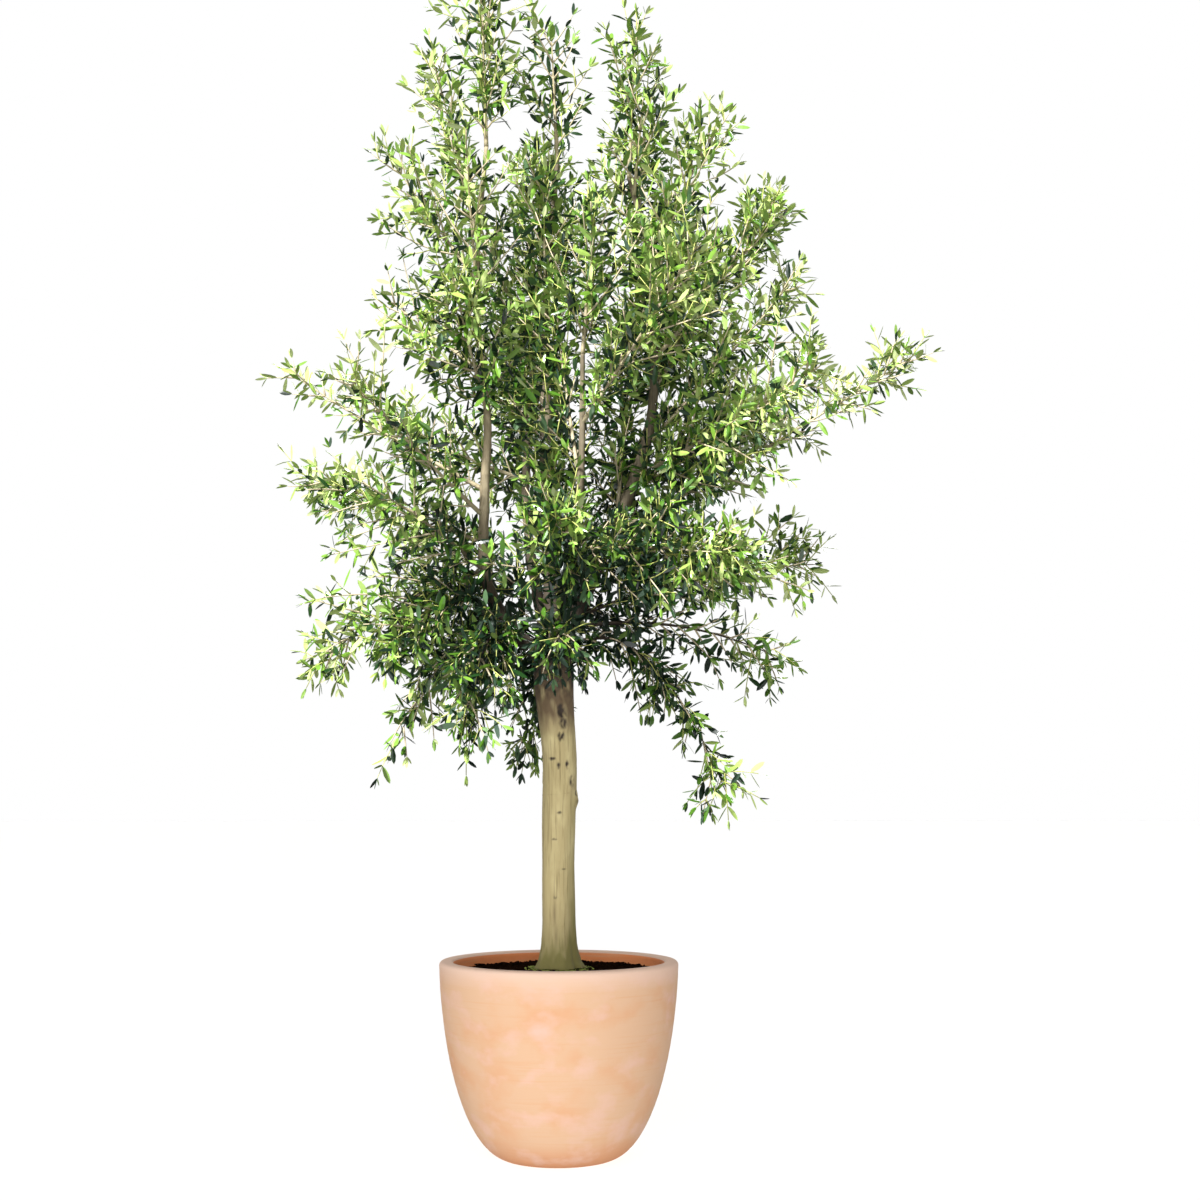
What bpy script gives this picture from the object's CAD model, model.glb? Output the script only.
"""A potted olive tree: a young tree on one trunk, in a round terracotta pot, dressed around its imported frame.

Sizes are in millimetres and angles in degrees, and meshes are turned into metres as they are made. +X is
the tree's right, -Y its front, +Z up, and the origin is the centre of the pot's flat underside.
"""

import logging
import math
from dataclasses import dataclass, field
from enum import Enum, IntEnum
from itertools import combinations

import bpy
import numpy as np
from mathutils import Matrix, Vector, noise

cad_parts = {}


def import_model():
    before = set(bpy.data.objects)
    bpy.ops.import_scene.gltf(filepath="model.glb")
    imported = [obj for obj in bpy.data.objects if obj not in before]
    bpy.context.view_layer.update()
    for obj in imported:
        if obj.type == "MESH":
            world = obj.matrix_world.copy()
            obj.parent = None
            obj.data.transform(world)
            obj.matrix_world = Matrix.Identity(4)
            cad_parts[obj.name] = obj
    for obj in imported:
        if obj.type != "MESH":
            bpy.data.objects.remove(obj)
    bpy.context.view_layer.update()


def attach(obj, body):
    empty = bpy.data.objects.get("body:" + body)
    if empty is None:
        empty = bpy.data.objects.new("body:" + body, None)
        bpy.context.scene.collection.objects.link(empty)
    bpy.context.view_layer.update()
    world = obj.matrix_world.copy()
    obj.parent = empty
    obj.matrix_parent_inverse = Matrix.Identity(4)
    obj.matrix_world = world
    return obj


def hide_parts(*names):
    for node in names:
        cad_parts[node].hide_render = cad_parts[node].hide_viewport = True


LOG = logging.getLogger("olive")
MM = 0.001
UP = np.array([0.0, 0.0, 1.0])
ACROSS = np.array([1.0, 0.0, 0.0])
# Where the Z part of a shoot's or a tube's direction passes these, it is turned against ACROSS, not UP.
TOO_STEEP = 0.97
TUBE_TOO_STEEP = 0.8
FULL_TURN = 2 * math.pi
Line = tuple[tuple[float, ...], ...]

# The constants of the 32-bit hash behind the seeded draws, which the solids' growth rule uses too.
HASH_START = 2166136261
HASH_PRIME = 16777619
HASH_MIX = 0x85EBCA6B
HASH_FINISH = 0xC2B2AE35
WORD = 0xFFFFFFFF


# ---------------------------------------------------------------- seeded draws and vectors
class Use(IntEnum):
    """What a number is drawn for, as the last of its keys. A mass and a shoot never share the other keys."""

    FILL = 0
    TIP_REACH = 1
    TIP_HEIGHT = 2
    TURN = 1
    SPREAD = 2
    LENGTH = 3
    LIFT = 4
    MISSING = 9
    TINT = 31


class Kind(IntEnum):
    """What a shoot is, as the second of its keys."""

    TWIG = 1
    FINE = 3
    STEM_END = 4
    SPUR = 5


def draw(*keys: int) -> float:
    """A number from 0 to 1 that depends only on some whole numbers.

    Args:
        keys: Whole numbers that name the thing that is drawn for.

    Returns:
        The number.
    """
    state = HASH_START
    for key in keys:
        state = ((state ^ key) * HASH_PRIME) & WORD
        state ^= state >> 15
        state = (state * HASH_MIX) & WORD
        state ^= state >> 13
    state = (state * HASH_FINISH) & WORD
    return (state ^ (state >> 16)) / (WORD + 1)


def stray(amount: float, *keys: int) -> float:
    """A seeded number from -amount to amount."""
    return (draw(*keys) * 2 - 1) * amount


def unit(vectors: np.ndarray) -> np.ndarray:
    """The vector, or each vector of a list, at length 1."""
    return vectors / np.linalg.norm(vectors, axis=-1, keepdims=True)


def catmull_rom(line: Line, samples: int) -> np.ndarray:
    """Points on the uniform Catmull-Rom curve through a line's points.

    Args:
        line: The points that the curve goes through.
        samples: How many equal steps of its parameter to take.

    Returns:
        samples + 1 points.
    """
    knots = np.array(line, float)
    knots = np.vstack([2 * knots[0] - knots[1], knots, 2 * knots[-1] - knots[-2]])
    place = np.linspace(0, len(line) - 1, samples + 1)
    first = np.minimum(place.astype(int), len(line) - 2)
    share = (place - first)[:, None]
    before, here, after, beyond = (knots[first + step] for step in range(4))
    return 0.5 * (
        2 * here
        + (after - before) * share
        + (2 * before - 5 * here + 4 * after - beyond) * share**2
        + (3 * here - before - 3 * after + beyond) * share**3
    )


def side_directions(tangents: np.ndarray, turns: np.ndarray, spreads: np.ndarray) -> np.ndarray:
    """The ways in which shoots or leaves stand off their stems.

    Args:
        tangents: The stems' own directions.
        turns: The angles round the stems, in radians.
        spreads: The angles away from the stems, in radians.

    Returns:
        A direction of length 1 for each.
    """
    reference = np.where(np.abs(tangents[:, 2:]) < TOO_STEEP, UP, ACROSS)
    side = unit(np.cross(tangents, reference))
    rise = np.cross(side, tangents)
    turns, spreads = turns[:, None], spreads[:, None]
    return np.cos(spreads) * tangents + np.sin(spreads) * (np.cos(turns) * side + np.sin(turns) * rise)


def side_direction(tangent: np.ndarray, turn: float, spread: float) -> np.ndarray:
    """The same for one shoot."""
    return side_directions(tangent[None], np.array([turn]), np.array([spread]))[0]


def roughness_at(points: np.ndarray, size: tuple[float, float, float], seed: float) -> np.ndarray:
    """Smooth noise at each point.

    Args:
        points: The points.
        size: The size of the noise's features along X, Y and Z.
        seed: Shifts the noise, so that two layers of it differ.

    Returns:
        A number from about -1 to 1 for each point.
    """
    return np.array([noise.noise(Vector(point)) for point in points / np.array(size) + seed])


# ---------------------------------------------------------------- meshes
class MeshParts:
    """Closed parts that are collected and then joined into one piece."""

    def __init__(self) -> None:
        """Starts with no parts."""
        self.points: list[np.ndarray] = []
        self.triangles: list[np.ndarray] = []
        self.slots: list[np.ndarray] = []
        self.count = 0

    def add(self, points: np.ndarray, triangles: np.ndarray, slot: int | np.ndarray = 0) -> None:
        """Adds one part, or many at once.

        Args:
            points: Its points, in millimetres.
            triangles: Three indices into points for each triangle.
            slot: The material slot of the part, or of each triangle.
        """
        self.points.append(points)
        self.triangles.append(triangles + self.count)
        self.slots.append(np.broadcast_to(np.asarray(slot), (len(triangles),)))
        self.count += len(points)

    def build(self, name: str, finishes: list[bpy.types.Material], smooth: bool = True) -> bpy.types.Object:
        """Joins the parts into one object in the scene.

        Args:
            name: The object's name.
            finishes: Its materials, in the order of the parts' slots.
            smooth: Whether its faces are shaded as one curved surface.

        Returns:
            The object.
        """
        mesh = bpy.data.meshes.new(name)
        triangles = np.concatenate(self.triangles)
        mesh.from_pydata(np.concatenate(self.points) * MM, [], triangles)
        mesh.polygons.foreach_set("material_index", np.concatenate(self.slots).astype(np.int32))
        mesh.polygons.foreach_set("use_smooth", np.full(len(triangles), smooth))
        for finish in finishes:
            mesh.materials.append(finish)
        piece = bpy.data.objects.new(name, mesh)
        bpy.context.scene.collection.objects.link(piece)
        LOG.info("%s: %d triangles", name, len(triangles))
        return piece


def ring_triangles(count: int, sides: int) -> np.ndarray:
    """The triangles of a closed tube of rings, with a fan of triangles over each end.

    Args:
        count: The number of rings.
        sides: The points in each ring.

    Returns:
        Three indices for each triangle.
    """
    start = np.arange(count - 1)[:, None] * sides
    a, b = start + np.arange(sides), start + (np.arange(sides) + 1) % sides
    walls = np.stack([a, a + sides, b, b, a + sides, b + sides], axis=-1).reshape(-1, 3)
    fan = np.arange(1, sides - 1)
    foot = np.stack([np.zeros_like(fan), fan, fan + 1], axis=-1)
    end = np.stack([np.zeros_like(fan), fan + 1, fan], axis=-1) + (count - 1) * sides
    return np.concatenate([walls, foot, end])


def tube(path: np.ndarray, radii: np.ndarray, sides: int) -> tuple[np.ndarray, np.ndarray]:
    """A closed tube along a path.

    Args:
        path: The points of its centre line.
        radii: Its radius at each point, or at each point and side.
        sides: The number of its sides.

    Returns:
        Its points and its triangles.
    """
    tangents = unit(np.gradient(path, axis=0))
    run = unit(path[-1] - path[0])
    side = unit(np.cross(tangents, ACROSS if abs(run[2]) > TUBE_TOO_STEEP else UP))
    rise = np.cross(side, tangents)
    angles = np.linspace(0, FULL_TURN, sides, endpoint=False)[None, :, None]
    ring = side[:, None] * np.cos(angles) + rise[:, None] * np.sin(angles)
    points = path[:, None] + radii.reshape(len(path), -1, 1) * ring
    return points.reshape(-1, 3), ring_triangles(len(path), sides)


def turned(radii: np.ndarray, heights: np.ndarray) -> np.ndarray:
    """Rings about the Z axis, each point's angle counted from +Y towards +X.

    Args:
        radii: The radius of each ring, or of each ring and side.
        heights: The same for the heights.

    Returns:
        The points, ring by ring.
    """
    angles = np.linspace(0, FULL_TURN, radii.shape[1], endpoint=False)
    return np.stack([radii * np.sin(angles), radii * np.cos(angles), heights], axis=-1).reshape(-1, 3)


# ---------------------------------------------------------------- finishes
def linear(hex_colour: str) -> tuple[float, float, float, float]:
    """Turns an sRGB colour into the linear colour that a shader reads.

    Args:
        hex_colour: The colour's six digits, such as "a59a78".

    Returns:
        Red, green, blue and a full alpha.
    """
    channels = [int(hex_colour[i : i + 2], 16) / 255 for i in (0, 2, 4)]
    red, green, blue = ((c / 12.92) if c <= 0.04045 else ((c + 0.055) / 1.055) ** 2.4 for c in channels)
    return red, green, blue, 1.0


def add_node(tree: bpy.types.NodeTree, kind: str, inputs: dict, **settings: object) -> bpy.types.Node:
    """Adds a shader node.

    Args:
        tree: The node tree that it goes into.
        kind: Blender's name for the kind of node.
        inputs: What each input, by name or number, gets: a value, or the output that is linked to it.
        settings: The node's own properties.

    Returns:
        The node.
    """
    node = tree.nodes.new(kind)
    for name, value in settings.items():
        setattr(node, name, value)
    for name, value in inputs.items():
        if isinstance(value, bpy.types.NodeSocket):
            tree.links.new(value, node.inputs[name])
        else:
            node.inputs[name].default_value = value
    return node


def principled(name: str, **values: object) -> tuple[bpy.types.Material, bpy.types.Node]:
    """A material of one Principled shader.

    Args:
        name: The material's name.
        values: What the shader's inputs get, with _ for the space in an input's name.

    Returns:
        The material and its shader.
    """
    material = bpy.data.materials.new(name)
    material.use_nodes = True
    shader = material.node_tree.nodes["Principled BSDF"]
    for key, value in values.items():
        shader.inputs[key.replace("_", " ")].default_value = value
    return material, shader


@dataclass(frozen=True)
class Layer:
    """A colour that lies over another where a pattern is strong: none of it at low and all of it at high."""

    pattern: bpy.types.NodeSocket
    low: float
    high: float
    colour: str


def layered(tree: bpy.types.NodeTree, base: str, layers: list[Layer]) -> bpy.types.NodeSocket:
    """Lays colours over a base colour.

    Args:
        tree: The material's node tree.
        base: The colour under all the layers.
        layers: The layers, from the lowest up.

    Returns:
        The output that carries the colour.
    """
    colour = linear(base)
    for layer in layers:
        limits = {"Value": layer.pattern, "From Min": layer.low, "From Max": layer.high}
        share = add_node(tree, "ShaderNodeMapRange", limits).outputs[0]
        mixed = {0: share, 6: colour, 7: linear(layer.colour)}
        colour = add_node(tree, "ShaderNodeMix", mixed, data_type="RGBA").outputs[2]
    return colour


def pattern_of(
    tree: bpy.types.NodeTree, size: tuple[float, float, float], detail: float = 3.0, shift: float = 0.0
) -> bpy.types.NodeSocket:
    """Noise that is fixed to the object.

    Args:
        tree: The material's node tree.
        size: The size of its features along X, Y and Z, in millimetres.
        detail: How many finer octaves it has.
        shift: Moves the noise, so that two of one size differ.

    Returns:
        The output that carries the noise, about 0.5 at its middle.
    """
    place = add_node(tree, "ShaderNodeTexCoord", {}).outputs["Object"]
    scale = tuple(1 / (length * MM) for length in size)
    moved = {"Vector": place, "Location": (shift, shift, shift), "Scale": scale}
    mapped = add_node(tree, "ShaderNodeMapping", moved).outputs[0]
    return add_node(tree, "ShaderNodeTexNoise", {"Vector": mapped, "Scale": 1.0, "Detail": detail}).outputs[0]


def height_of(tree: bpy.types.NodeTree) -> bpy.types.NodeSocket:
    """The output that carries the height above the pot's underside, in metres."""
    place = add_node(tree, "ShaderNodeTexCoord", {}).outputs["Object"]
    return add_node(tree, "ShaderNodeSeparateXYZ", {"Vector": place}).outputs["Z"]


def bump(
    tree: bpy.types.NodeTree, shader: bpy.types.Node, reliefs: list[tuple[bpy.types.NodeSocket, float]]
) -> None:
    """Gives a shader a fine relief.

    Args:
        tree: The material's node tree.
        shader: The shader.
        reliefs: Patterns, and the depth of each in millimetres.
    """
    normal = None
    for pattern, depth in reliefs:
        inputs = {"Height": pattern, "Distance": depth * MM} | ({"Normal": normal} if normal else {})
        normal = add_node(tree, "ShaderNodeBump", inputs).outputs[0]
    tree.links.new(normal, shader.inputs["Normal"])


@dataclass(frozen=True)
class LeafFinish:
    """One side of an olive leaf. The top is a waxed skin with a soft gloss, and the underside a felt of
    silvery scales, paler and matt. Leaves are coloured spray by spray, so each is one plain colour."""

    name: str
    colour: str
    roughness: float
    gloss: float

    def material(self) -> bpy.types.Material:
        """The material of this finish."""
        surface = {"Roughness": self.roughness, "Specular_IOR_Level": self.gloss}
        return principled(self.name, Base_Color=linear(self.colour), **surface)[0]


class Tint(Enum):
    """The colours of a spray's leaves, top and underside, from the shaded inside to the young shoots."""

    SHADE = ("0d2013", "2b402f")
    DEEP = ("1b3916", "46623f")
    FULL = ("42691b", "769546")
    SUN = ("6a9032", "95ad5c")
    YOUNG = ("8da950", "acbd74")
    FRESH = ("adbf74", "c1cd94")

    def finishes(self) -> list[LeafFinish]:
        """Gives this tint to both sides of a leaf.

        Returns:
            The finishes of the top and of the underside.
        """
        top, under = self.value
        name = self.name.lower()
        return [
            LeafFinish(f"olive_leaf_top_{name}", top, roughness=0.28, gloss=0.6),
            LeafFinish(f"olive_leaf_underside_{name}", under, roughness=0.65, gloss=0.3),
        ]


@dataclass(frozen=True)
class TwigFinish:
    """Bark of a twig: smooth, pale and matt, and greener while it is young. It is too thin for a pattern."""

    name: str
    colour: str
    roughness: float

    def material(self) -> bpy.types.Material:
        """The material of this finish."""
        return principled(self.name, Base_Color=linear(self.colour), Roughness=self.roughness)[0]


@dataclass(frozen=True)
class BarkFinish:
    """Bark of a young olive: smooth khaki skin with fine upright streaks, a green film of algae low down and
    on one side, and dark corky wounds where shoots were pruned off. The mesh's marks say where those lie, and
    bark without marks is darker towards the fork."""

    name: str
    skin: str = "a6976b"
    pale: str = "b9ab7e"
    streak: str = "7c6d48"
    algae: str = "7a7340"
    stain: str = "64523a"
    wound: str = "33291f"
    shade: str = "362c21"
    roughness: float = 0.85
    streak_size: tuple[float, float, float] = (5.0, 5.0, 90.0)
    patch_size: tuple[float, float, float] = (38.0, 38.0, 110.0)
    grain_size: tuple[float, float, float] = (1.6, 1.6, 3.0)
    streak_depth: float = 0.9
    grain_depth: float = 0.35
    marked: bool = True
    shade_from: float = 1620.0
    shade_to: float = 1360.0

    def material(self) -> bpy.types.Material:
        """Makes the bark: the trunk's with its marks, or a bough's, which darkens down to the dirty fork.

        Returns:
            The material.
        """
        material, shader = principled(self.name, Roughness=self.roughness)
        tree = material.node_tree
        streaks = pattern_of(tree, self.streak_size)
        patches = pattern_of(tree, self.patch_size, shift=7.0)
        grain = pattern_of(tree, self.grain_size)
        layers = [Layer(patches, 0.48, 0.7, self.pale), Layer(streaks, 0.52, 0.78, self.streak)]
        if self.marked:
            for mark in ("algae", "stain", "wound"):
                strength = add_node(tree, "ShaderNodeAttribute", {}, attribute_name=mark).outputs["Fac"]
                layers.append(Layer(strength, 0.1, 0.9, getattr(self, mark)))
        else:
            layers.append(Layer(height_of(tree), self.shade_from * MM, self.shade_to * MM, self.shade))
        tree.links.new(layered(tree, self.skin, layers), shader.inputs["Base Color"])
        bump(tree, shader, [(streaks, self.streak_depth), (grain, self.grain_depth)])
        return material


@dataclass(frozen=True)
class TerracottaFinish:
    """Unglazed terracotta, thrown and fired: a dry peach body with faint level turning marks, fine sand in
    it, a pale bloom of lime that gathers on the lip, and warmer clay round the foot and inside."""

    name: str
    body: str = "d3ac8b"
    warm: str = "d39d75"
    bloom: str = "dab3a0"
    lip: str = "dabaa5"
    mark: str = "d2a27d"
    foot: str = "d18f64"
    roughness: float = 0.9
    gloss: float = 0.2
    patch_size: tuple[float, float, float] = (120.0, 120.0, 90.0)
    cloud_size: tuple[float, float, float] = (90.0, 90.0, 60.0)
    mark_size: tuple[float, float, float] = (190.0, 190.0, 5.0)
    sand_size: tuple[float, float, float] = (1.4, 1.4, 1.4)
    mark_depth: float = 0.15
    sand_depth: float = 0.2
    bloomed: bool = True
    lip_from: float = 431.0
    lip_to: float = 476.0
    foot_from: float = 75.0
    foot_to: float = 5.0

    def material(self) -> bpy.types.Material:
        """Makes the clay, with the bloom on the outside alone.

        Returns:
            The material.
        """
        material, shader = principled(self.name, Roughness=self.roughness, Specular_IOR_Level=self.gloss)
        tree = material.node_tree
        patches = pattern_of(tree, self.patch_size, detail=4.0)
        cloud = pattern_of(tree, self.cloud_size, detail=5.0, shift=3.0)
        marks = pattern_of(tree, self.mark_size, shift=11.0)
        sand = pattern_of(tree, self.sand_size, detail=2.0)
        height = height_of(tree)
        layers = [Layer(patches, 0.48, 0.78, self.warm), Layer(marks, 0.55, 0.85, self.mark)]
        if self.bloomed:
            layers += [
                Layer(height, self.foot_from * MM, self.foot_to * MM, self.foot),
                Layer(cloud, 0.5, 0.74, self.bloom),
                Layer(height, self.lip_from * MM, self.lip_to * MM, self.lip),
            ]
        layers.append(Layer(sand, 0.66, 0.9, self.warm))
        tree.links.new(layered(tree, self.body, layers), shader.inputs["Base Color"])
        bump(tree, shader, [(marks, self.mark_depth), (sand, self.sand_depth)])
        return material


@dataclass(frozen=True)
class SoilFinish:
    """Potting soil of peat and bark fines: dark, crumbly and without any gloss."""

    name: str
    body: str = "180d07"
    dry: str = "332011"
    wet: str = "080504"
    crumb_size: tuple[float, float, float] = (9.0, 9.0, 9.0)
    damp_size: tuple[float, float, float] = (60.0, 60.0, 60.0)
    crumb_depth: float = 1.5

    def material(self) -> bpy.types.Material:
        """Makes the soil, damp in patches and dry on its crumbs.

        Returns:
            The material.
        """
        material, shader = principled(self.name, Roughness=1.0, Specular_IOR_Level=0.0)
        tree = material.node_tree
        crumbs = pattern_of(tree, self.crumb_size, detail=5.0)
        damp = pattern_of(tree, self.damp_size)
        layers = [Layer(damp, 0.45, 0.65, self.wet), Layer(crumbs, 0.55, 0.8, self.dry)]
        tree.links.new(layered(tree, self.body, layers), shader.inputs["Base Color"])
        bump(tree, shader, [(crumbs, self.crumb_depth)])
        return material


@dataclass(frozen=True)
class MossFinish:
    """Moss and algae at the foot of the trunk: a soft matt green."""

    name: str
    green: str = "6f7a35"
    light: str = "97a04f"
    tuft_size: tuple[float, float, float] = (4.0, 4.0, 4.0)
    tuft_depth: float = 1.0

    def material(self) -> bpy.types.Material:
        """Makes the moss, lighter at the ends of its tufts.

        Returns:
            The material.
        """
        material, shader = principled(self.name, Roughness=1.0)
        tree = material.node_tree
        tufts = pattern_of(tree, self.tuft_size)
        green = layered(tree, self.green, [Layer(tufts, 0.4, 0.7, self.light)])
        tree.links.new(green, shader.inputs["Base Color"])
        bump(tree, shader, [(tufts, self.tuft_depth)])
        return material


# ---------------------------------------------------------------- pot and soil
@dataclass
class Pot:
    """The round pot: a belly that rises from a small flat foot to an upright rim with a rounded lip."""

    height: float = 481.0
    radius: float = 295.0
    foot_radius: float = 108.0
    wall: float = 33.0
    floor: float = 36.0
    lip: float = 36.0
    lip_round: float = 10.0
    belly: tuple[float, float] = (1.72, 2.27)
    lip_growth: float = 4.0
    sides: int = 160
    row: float = 5.0
    row_crowding: float = 1.6
    lip_steps: int = 7
    base_rings: tuple[float, ...] = (0.4, 0.8, 0.97)
    turning: float = 27.0
    turning_depth: float = 0.12
    turning_wander: float = 4.0
    wobble: float = 0.7
    wobble_size: tuple[float, float, float] = (160.0, 160.0, 120.0)
    foot_line: float = 31.0
    foot_line_width: float = 2.5
    foot_line_depth: float = 0.8
    smooth_below: float = 20.0

    def outer_radius(self, height: np.ndarray) -> np.ndarray:
        """The radius of the outside, which swells from the foot to the rim as a bent ellipse does.

        Args:
            height: Heights above the pot's underside.

        Returns:
            The radius at each height.
        """
        drop = 1 - height / self.height
        lower, upper = self.belly
        return self.foot_radius + (self.radius - self.foot_radius) * (1 - drop**lower) ** (1 / upper)

    def inner_radius(self, height: np.ndarray) -> np.ndarray:
        """The radius of the inside, whose wall grows thicker towards the lip.

        Args:
            height: Heights above the pot's underside.

        Returns:
            The radius at each height.
        """
        thicker = (self.lip - self.wall) * (height / self.height) ** self.lip_growth
        return self.outer_radius(height) - self.wall - thicker

    def profile(self) -> tuple[np.ndarray, np.ndarray]:
        """The outline from the middle of the underside, up the outside, over the lip and down the inside.

        Returns:
            The outline's points, as (radius, height), and which of them are on the inside.
        """
        shoulder = self.height - self.lip_round
        rows = int(shoulder / self.row)
        outside = shoulder * np.linspace(0, 1, rows) ** self.row_crowding
        outer_edge = self.radius - self.lip_round
        inner_edge = self.inner_radius(np.array([shoulder]))[0] + self.lip_round
        arc = np.linspace(0, math.pi / 2, self.lip_steps)
        along, up = self.lip_round * np.cos(arc), self.lip_round * np.sin(arc)
        inside = np.linspace(shoulder - self.row, self.floor, rows // 2)
        points = [(self.foot_radius * share, 0.0) for share in self.base_rings]
        points += list(zip(self.outer_radius(outside[1:-1]), outside[1:-1]))
        points += list(zip(outer_edge + along, shoulder + up))
        points += list(zip(inner_edge - up, shoulder + along))
        inner_start = len(points) - len(arc) // 2
        points += list(zip(self.inner_radius(inside), inside))
        points += [(self.foot_radius * self.base_rings[0], self.floor)]
        return np.array(points), np.arange(len(points)) >= inner_start

    def relief(self, points: np.ndarray) -> np.ndarray:
        """How far the hand-turned surface stands off the true outline: a slow wobble, rings and a foot line.

        Args:
            points: Points of the true surface.

        Returns:
            The distance at each point.
        """
        wander = roughness_at(points, self.wobble_size, 5.0)
        turning = np.sin(FULL_TURN * points[:, 2] / self.turning + self.turning_wander * wander)
        foot_line = np.exp(-(((points[:, 2] - self.foot_line) / self.foot_line_width) ** 2))
        return self.wobble * wander + self.turning_depth * turning - self.foot_line_depth * foot_line

    def build(self) -> bpy.types.Object:
        """Makes the pot and dresses it.

        Returns:
            The piece.
        """
        outline, inside = self.profile()
        radii = np.repeat(outline[:, :1], self.sides, axis=1)
        heights = np.repeat(outline[:, 1:], self.sides, axis=1)
        relief = self.relief(turned(radii, heights)).reshape(radii.shape)
        relief *= np.clip(outline[:, 1:] / self.smooth_below, 0, 1)
        radii = radii + relief * np.where(inside, -1, 1)[:, None]
        triangles = ring_triangles(len(outline), self.sides)
        parts = MeshParts()
        ring_of = triangles.min(axis=1) // self.sides
        parts.add(turned(radii, heights), triangles, inside[ring_of].astype(int))
        outer = TerracottaFinish("terracotta_outside")
        inner = TerracottaFinish("terracotta_inside", body="e08c5a", warm="c97648", bloomed=False)
        piece = parts.build("pot_body", [outer.material(), inner.material()])
        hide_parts("pot")
        return piece


@dataclass
class Soil:
    """The soil: a low dome of crumbs that meets the pot's wall below its lip, with moss round the trunk."""

    pot: Pot
    top: float = 463.0
    settled: float = 3.5
    dome: float = 7.0
    dome_from: float = 0.75
    depth: float = 40.0
    clearance: float = 0.6
    sides: int = 150
    rings: int = 44
    middle_ring: float = 8.0
    base_ring: float = 0.3
    swell: float = 2.4
    swell_size: tuple[float, float, float] = (70.0, 70.0, 70.0)
    grain: float = 2.2
    grain_size: tuple[float, float, float] = (13.0, 13.0, 13.0)
    crumbs: int = 900
    crumb: tuple[float, float] = (1.5, 6.5)
    crumb_stretch: tuple[float, float, float] = (1, 0.9, 0.7)
    chips: int = 60
    chip: tuple[float, float] = (3, 7)
    chip_stretch: tuple[float, float, float] = (2.2, 0.8, 0.45)
    small_most: float = 3.0
    dents: tuple[float, float] = (0.7, 1.25)
    proud: float = 0.25
    bare_round_trunk: float = 60.0
    bare_at_wall: float = 8.0
    moss_tufts: int = 620
    moss_tuft: tuple[float, float] = (1.5, 4.0)
    moss_stretch: tuple[float, float, float] = (1, 1, 0.8)
    moss_reach: tuple[float, float] = (50.0, 84.0)

    def surface(self, x: np.ndarray, y: np.ndarray) -> np.ndarray:
        """The height of the soil, which falls away near the pot's wall.

        Args:
            x: Places along X.
            y: The same places along Y.

        Returns:
            The height at each place.
        """
        share = np.hypot(x, y) / self.pot.inner_radius(np.array(self.top))
        fall = self.dome * np.clip((share - self.dome_from) / (1 - self.dome_from), 0, 1)
        level = np.stack([x, y, np.zeros_like(x)], axis=-1)
        swell = self.swell * roughness_at(level, self.swell_size, 2.0)
        grain = self.grain * roughness_at(level, self.grain_size, 9.0)
        return self.top - self.settled - fall + swell + grain

    def bed(self) -> tuple[np.ndarray, np.ndarray]:
        """The soil's body: its rough top, its side along the pot's wall and its underside.

        Returns:
            Its points and its triangles.
        """
        edge = self.pot.inner_radius(np.array(self.top - self.dome)) - self.clearance
        low = self.pot.inner_radius(np.array(self.top - self.depth)) - self.clearance
        base = [low * self.base_ring, low]
        radii = np.concatenate([base, np.linspace(edge, self.middle_ring, self.rings)])
        radii = np.repeat(radii[:, None], self.sides, axis=1)
        heights = np.full_like(radii, self.top - self.depth)
        flat = turned(radii[2:], heights[2:])
        heights[2:] = self.surface(flat[:, 0], flat[:, 1]).reshape(-1, self.sides)
        return turned(radii, heights), ring_triangles(len(radii), self.sides)

    @staticmethod
    def lump() -> tuple[np.ndarray, np.ndarray]:
        """A rounded lump of 20 faces, of radius 1.

        Returns:
            Its points and its triangles.
        """
        golden = (1 + math.sqrt(5)) / 2
        corners = [(0, a, b * golden) for a in (-1, 1) for b in (-1, 1)]
        corners = unit(np.array([c[i:] + c[:i] for i in range(3) for c in corners], float))
        gaps = np.linalg.norm(corners[:, None] - corners[None], axis=2)
        neighbours = 1.1
        faces = []
        for a, b, c in combinations(range(len(corners)), 3):
            if max(gaps[a, b], gaps[b, c], gaps[a, c]) < neighbours:
                out = np.dot(np.cross(corners[b] - corners[a], corners[c] - corners[a]), corners[a])
                faces.append((a, b, c) if out > 0 else (a, c, b))
        return corners, np.array(faces)

    def scatter(
        self, parts: MeshParts, count: int, reach: tuple[float, float], size: tuple[float, float],
        stretch: tuple[float, float, float], slot: int, seed: int,
    ) -> None:
        """Strews lumps over the soil.

        Args:
            parts: What they are added to.
            count: How many.
            reach: Their least and greatest distance from the pot's axis.
            size: Their least and greatest radius.
            stretch: How much longer they are along their own three axes.
            slot: Their material slot.
            seed: The seed of their places.
        """
        chance = np.random.default_rng(seed)
        shape, faces = self.lump()
        for _ in range(count):
            distance = math.sqrt(chance.uniform(reach[0] ** 2, reach[1] ** 2))
            bearing, turn = chance.uniform(0, FULL_TURN, 2)
            radius = size[0] + (size[1] - size[0]) * chance.random() ** self.small_most
            x, y = distance * math.sin(bearing), distance * math.cos(bearing)
            lump = shape * stretch * radius * chance.uniform(*self.dents, (len(shape), 1))
            turned_x = lump[:, 0] * math.cos(turn) - lump[:, 1] * math.sin(turn) + x
            turned_y = lump[:, 0] * math.sin(turn) + lump[:, 1] * math.cos(turn) + y
            height = self.surface(np.array([x]), np.array([y]))[0] + self.proud * radius
            parts.add(np.stack([turned_x, turned_y, lump[:, 2] + height], axis=-1), faces, slot)

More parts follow.
